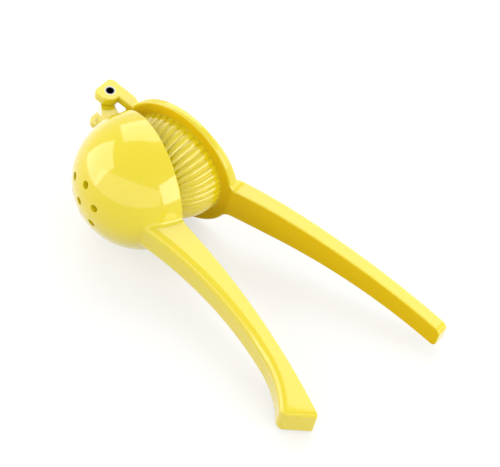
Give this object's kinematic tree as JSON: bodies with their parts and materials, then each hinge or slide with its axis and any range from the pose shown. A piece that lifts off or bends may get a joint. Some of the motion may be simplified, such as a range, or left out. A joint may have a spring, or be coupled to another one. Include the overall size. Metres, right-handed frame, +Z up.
{
  "type": "hinged lemon squeezer",
  "caption": "Hand lever squeezer: a ribbed dome on one hinged handle presses half a citrus fruit into a drilled bowl on the other handle.",
  "frame": {"origin": "on the surface that the tool lies on, under the middle of its bounding box", "axes": "+Z up, with the tool lying on its side; +X from the hinge towards the handles' ends, along the cup lever; +Y from the cup lever towards the opened press lever"},
  "size_m": [0.2258, 0.1402, 0.0756],
  "materials": {
    "yellow_enamel": "gloss",
    "bright_steel": "polished"
  },
  "bodies": {
    "cup_body": {"cup_lever": "yellow_enamel"},
    "press_body": {"press_lever": "yellow_enamel", "hinge_pin": "bright_steel"}
  },
  "joints": [
    {"name": "lever_hinge", "type": "hinge", "parent": "cup_body", "child": "press_body", "pos_m": [-0.10332, -0.02841, 0.04628], "axis": [0.1742, 0.0187, 0.9845], "range_deg": [-21.2, 158.8]}
  ]
}
